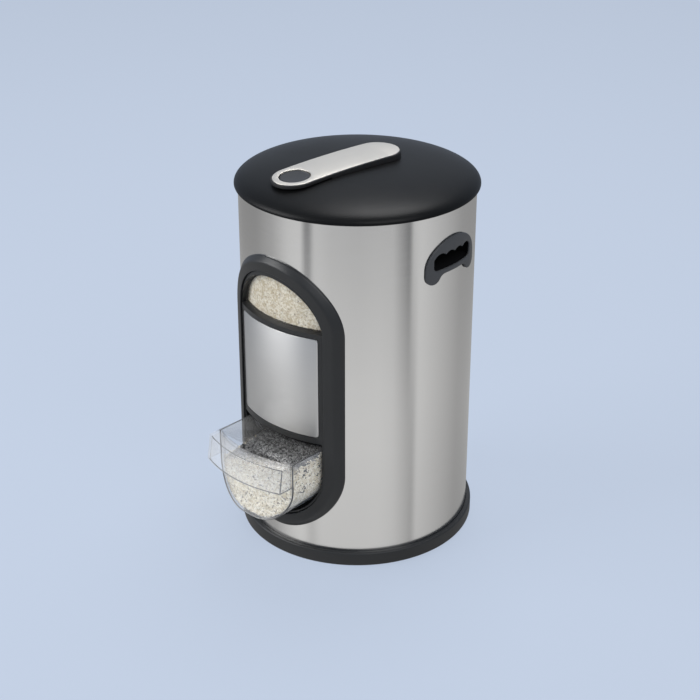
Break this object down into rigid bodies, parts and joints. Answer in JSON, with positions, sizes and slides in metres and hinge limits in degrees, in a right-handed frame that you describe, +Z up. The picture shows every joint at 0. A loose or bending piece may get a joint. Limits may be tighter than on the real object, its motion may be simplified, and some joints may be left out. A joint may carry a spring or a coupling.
{
  "type": "rice dispenser",
  "caption": "Round steel grain bin on a plastic base with a lift-off lid, press button, level window, side hand grips and a clear pull-out drawer at the front.",
  "frame": {"origin": "bottom of the base's middle foot, on the drum's axis at floor level", "axes": "+Z up along the drum's axis, -Y out of the front where the drawer opens, +X to the right of someone who faces the front"},
  "size_m": [0.261, 0.3165, 0.4234],
  "materials": {
    "base_plastic": "matt black moulded plastic",
    "foot_rubber": "matt black rubber",
    "screw_steel": "plain steel",
    "drum_steel": "vertically brushed stainless steel",
    "collar_plastic": "matt black moulded plastic",
    "hopper_plastic": "white food-safe plastic",
    "bezel_plastic": "satin black moulded plastic",
    "inner_plastic": "matt dark plastic",
    "plate_steel": "fine brushed stainless steel",
    "clear_plastic": "clear polystyrene",
    "seal_rubber": "dark silicone",
    "pad_rubber": "soft matt black",
    "trim_metal": "satin silver"
  },
  "bodies": {
    "body": {"base": "base_plastic", "feet": "foot_rubber", "base_screws": "screw_steel", "drum": "drum_steel", "collar": "collar_plastic", "hopper_rim": "hopper_plastic", "hopper_bin": "hopper_plastic", "hopper_chute": "hopper_plastic", "bezel": "bezel_plastic", "clamp_ring": "inner_plastic", "frame_screws": "screw_steel", "fascia": "bezel_plastic", "front_plate": "plate_steel", "window_pane": "clear_plastic", "window_gasket": "seal_rubber", "drawer_sleeve": "inner_plastic", "hand_grip_right": "bezel_plastic", "hand_grip_left": "bezel_plastic"},
    "drawer": {"drawer": "clear_plastic"},
    "lid": {"lid_shell": "bezel_plastic", "lid_liner": "inner_plastic", "lid_seal": "seal_rubber", "grip_pad": "pad_rubber", "grip_trim": "trim_metal", "button_spring": "screw_steel"},
    "button": {"lid_button": "pad_rubber", "vent_washer": "seal_rubber"}
  },
  "joints": [
    {"name": "drawer_slide", "type": "slide", "parent": "body", "child": "drawer", "axis": [0, -1, 0], "range_m": [-0.04, 0.045]},
    {"name": "lid_lift", "type": "slide", "parent": "body", "child": "lid", "axis": [0, 0, 1], "range_m": [0, 0.15]},
    {"name": "button_press", "type": "slide", "parent": "lid", "child": "button", "axis": [0, 0, -1], "range_m": [0, 0.0025], "stiffness_N_per_m": 300, "springref_m": -0.002, "deforming": ["button_spring"]}
  ]
}
